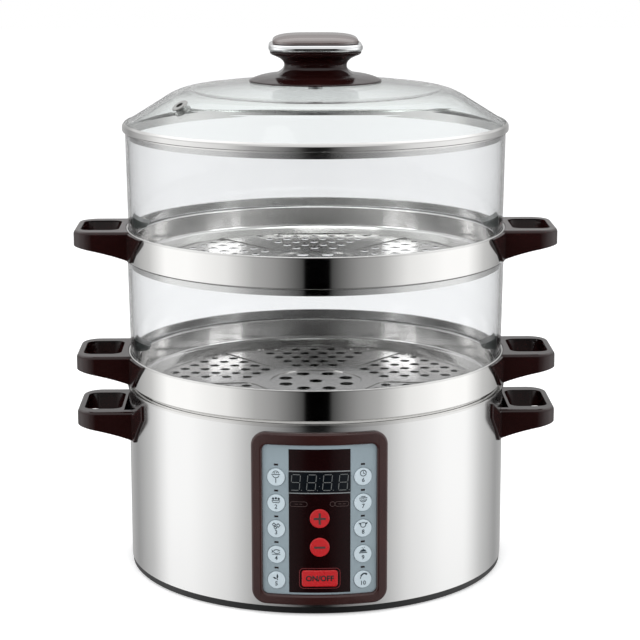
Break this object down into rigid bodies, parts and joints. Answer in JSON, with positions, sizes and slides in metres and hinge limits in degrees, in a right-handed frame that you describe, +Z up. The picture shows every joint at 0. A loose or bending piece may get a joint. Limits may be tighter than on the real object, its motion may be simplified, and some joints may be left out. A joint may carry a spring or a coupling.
{
  "type": "electric food steamer",
  "caption": "Round electric steamer: heated steel base with key panel, stacked clear-walled tiers that lift off, domed glass lid with knob.",
  "frame": {"origin": "on the table under the middle of the base, between the feet", "axes": "+Z up, control panel faces -Y, carrying handles along X"},
  "size_m": [0.3544, 0.286, 0.395],
  "materials": {
    "steel": "polished stainless steel sheet",
    "screw_steel": "zinc plated",
    "clear_plastic": "clear moulded plastic",
    "lid_glass": "clear tempered glass",
    "dark_plastic": "very dark brown, glossy",
    "knob_trim": "polished plating",
    "clip_plastic": "dark, satin",
    "base_plastic": "black, fine texture",
    "rubber": "soft black rubber",
    "aluminium": "cast",
    "heater_sheath": "dull sheath",
    "thermostat_case": "moulded case",
    "circuit_board": "green laminate",
    "panel_grey": "blue-grey membrane",
    "window_black": "near-black tinted window",
    "display_dark": "dark display",
    "switch_black": "black",
    "lamp_red": "clear red light pipe",
    "brass": "plated",
    "key_grey": "pale blue-grey",
    "key_red": "dark red",
    "key_power": "dark red"
  },
  "bodies": {
    "base": {"outer_shell": "steel", "inner_pot": "steel", "heating_plate": "aluminium", "heating_element": "heater_sheath", "thermostat": "thermostat_case", "thermal_fuse": "thermostat_case", "base_pan": "base_plastic", "rubber_feet": "rubber", "base_screws": "screw_steel", "base_handle_left": "dark_plastic", "base_handle_right": "dark_plastic", "base_handle_screws": "screw_steel", "panel_bezel": "dark_plastic", "panel_plate": "panel_grey", "display_window": "window_black", "display_module": "display_dark", "control_board": "circuit_board", "tact_switches": "switch_black", "indicator_lamps": "lamp_red", "power_board": "circuit_board", "power_inlet": "base_plastic", "inlet_pins": "brass"},
    "lower_tier": {"lower_wall": "clear_plastic", "lower_pan": "steel", "lower_steam_plate": "steel", "lower_hoop": "steel", "lower_handle_left": "dark_plastic", "lower_handle_right": "dark_plastic", "lower_handle_screws": "screw_steel", "lower_clips": "clip_plastic"},
    "upper_tier": {"upper_wall": "clear_plastic", "upper_pan": "steel", "upper_steam_plate": "steel", "upper_hoop": "steel", "upper_handle_left": "dark_plastic", "upper_handle_right": "dark_plastic", "upper_handle_screws": "screw_steel", "upper_clips": "clip_plastic"},
    "lid": {"lid_glass": "lid_glass", "lid_rim": "steel", "vent_eyelet": "steel", "knob_base": "dark_plastic", "knob_ring": "knob_trim", "knob_cap": "dark_plastic", "knob_screw": "screw_steel", "knob_washer": "screw_steel"},
    "key_1": {"key_1": "key_grey"},
    "key_2": {"key_2": "key_grey"},
    "key_3": {"key_3": "key_grey"},
    "key_4": {"key_4": "key_grey"},
    "key_5": {"key_5": "key_grey"},
    "key_6": {"key_6": "key_grey"},
    "key_7": {"key_7": "key_grey"},
    "key_8": {"key_8": "key_grey"},
    "key_9": {"key_9": "key_grey"},
    "key_10": {"key_10": "key_grey"},
    "key_plus": {"key_plus": "key_red"},
    "key_minus": {"key_minus": "key_red"},
    "key_power": {"key_power": "key_power"}
  },
  "joints": [
    {"name": "lower_tier_lift", "type": "slide", "parent": "base", "child": "lower_tier", "axis": [0, 0, 1], "range_m": [0, 0.1]},
    {"name": "upper_tier_lift", "type": "slide", "parent": "lower_tier", "child": "upper_tier", "axis": [0, 0, 1], "range_m": [0, 0.1]},
    {"name": "lid_lift", "type": "slide", "parent": "upper_tier", "child": "lid", "axis": [0, 0, 1], "range_m": [0, 0.1]},
    {"name": "key_1_press", "type": "slide", "parent": "base", "child": "key_1", "axis": [0.2139, 0.9769, 0], "range_m": [0, 0.0006], "stiffness_N_per_m": 1000, "springref_m": -0.0006},
    {"name": "key_2_press", "type": "slide", "parent": "base", "child": "key_2", "axis": [0.2139, 0.9769, 0], "range_m": [0, 0.0006], "stiffness_N_per_m": 1000, "springref_m": -0.0006},
    {"name": "key_3_press", "type": "slide", "parent": "base", "child": "key_3", "axis": [0.2139, 0.9769, 0], "range_m": [0, 0.0006], "stiffness_N_per_m": 1000, "springref_m": -0.0006},
    {"name": "key_4_press", "type": "slide", "parent": "base", "child": "key_4", "axis": [0.2139, 0.9769, 0], "range_m": [0, 0.0006], "stiffness_N_per_m": 1000, "springref_m": -0.0006},
    {"name": "key_5_press", "type": "slide", "parent": "base", "child": "key_5", "axis": [0.2139, 0.9769, 0], "range_m": [0, 0.0006], "stiffness_N_per_m": 1000, "springref_m": -0.0006},
    {"name": "key_6_press", "type": "slide", "parent": "base", "child": "key_6", "axis": [-0.2139, 0.9769, 0], "range_m": [0, 0.0006], "stiffness_N_per_m": 1000, "springref_m": -0.0006},
    {"name": "key_7_press", "type": "slide", "parent": "base", "child": "key_7", "axis": [-0.2139, 0.9769, 0], "range_m": [0, 0.0006], "stiffness_N_per_m": 1000, "springref_m": -0.0006},
    {"name": "key_8_press", "type": "slide", "parent": "base", "child": "key_8", "axis": [-0.2139, 0.9769, 0], "range_m": [0, 0.0006], "stiffness_N_per_m": 1000, "springref_m": -0.0006},
    {"name": "key_9_press", "type": "slide", "parent": "base", "child": "key_9", "axis": [-0.2139, 0.9769, 0], "range_m": [0, 0.0006], "stiffness_N_per_m": 1000, "springref_m": -0.0006},
    {"name": "key_10_press", "type": "slide", "parent": "base", "child": "key_10", "axis": [-0.2139, 0.9769, 0], "range_m": [0, 0.0006], "stiffness_N_per_m": 1000, "springref_m": -0.0006},
    {"name": "key_plus_press", "type": "slide", "parent": "base", "child": "key_plus", "axis": [0, 1, 0], "range_m": [0, 0.0006], "stiffness_N_per_m": 1000, "springref_m": -0.0006},
    {"name": "key_minus_press", "type": "slide", "parent": "base", "child": "key_minus", "axis": [0, 1, 0], "range_m": [0, 0.0006], "stiffness_N_per_m": 1000, "springref_m": -0.0006},
    {"name": "key_power_press", "type": "slide", "parent": "base", "child": "key_power", "axis": [0, 1, 0], "range_m": [0, 0.0006], "stiffness_N_per_m": 1000, "springref_m": -0.0006}
  ]
}
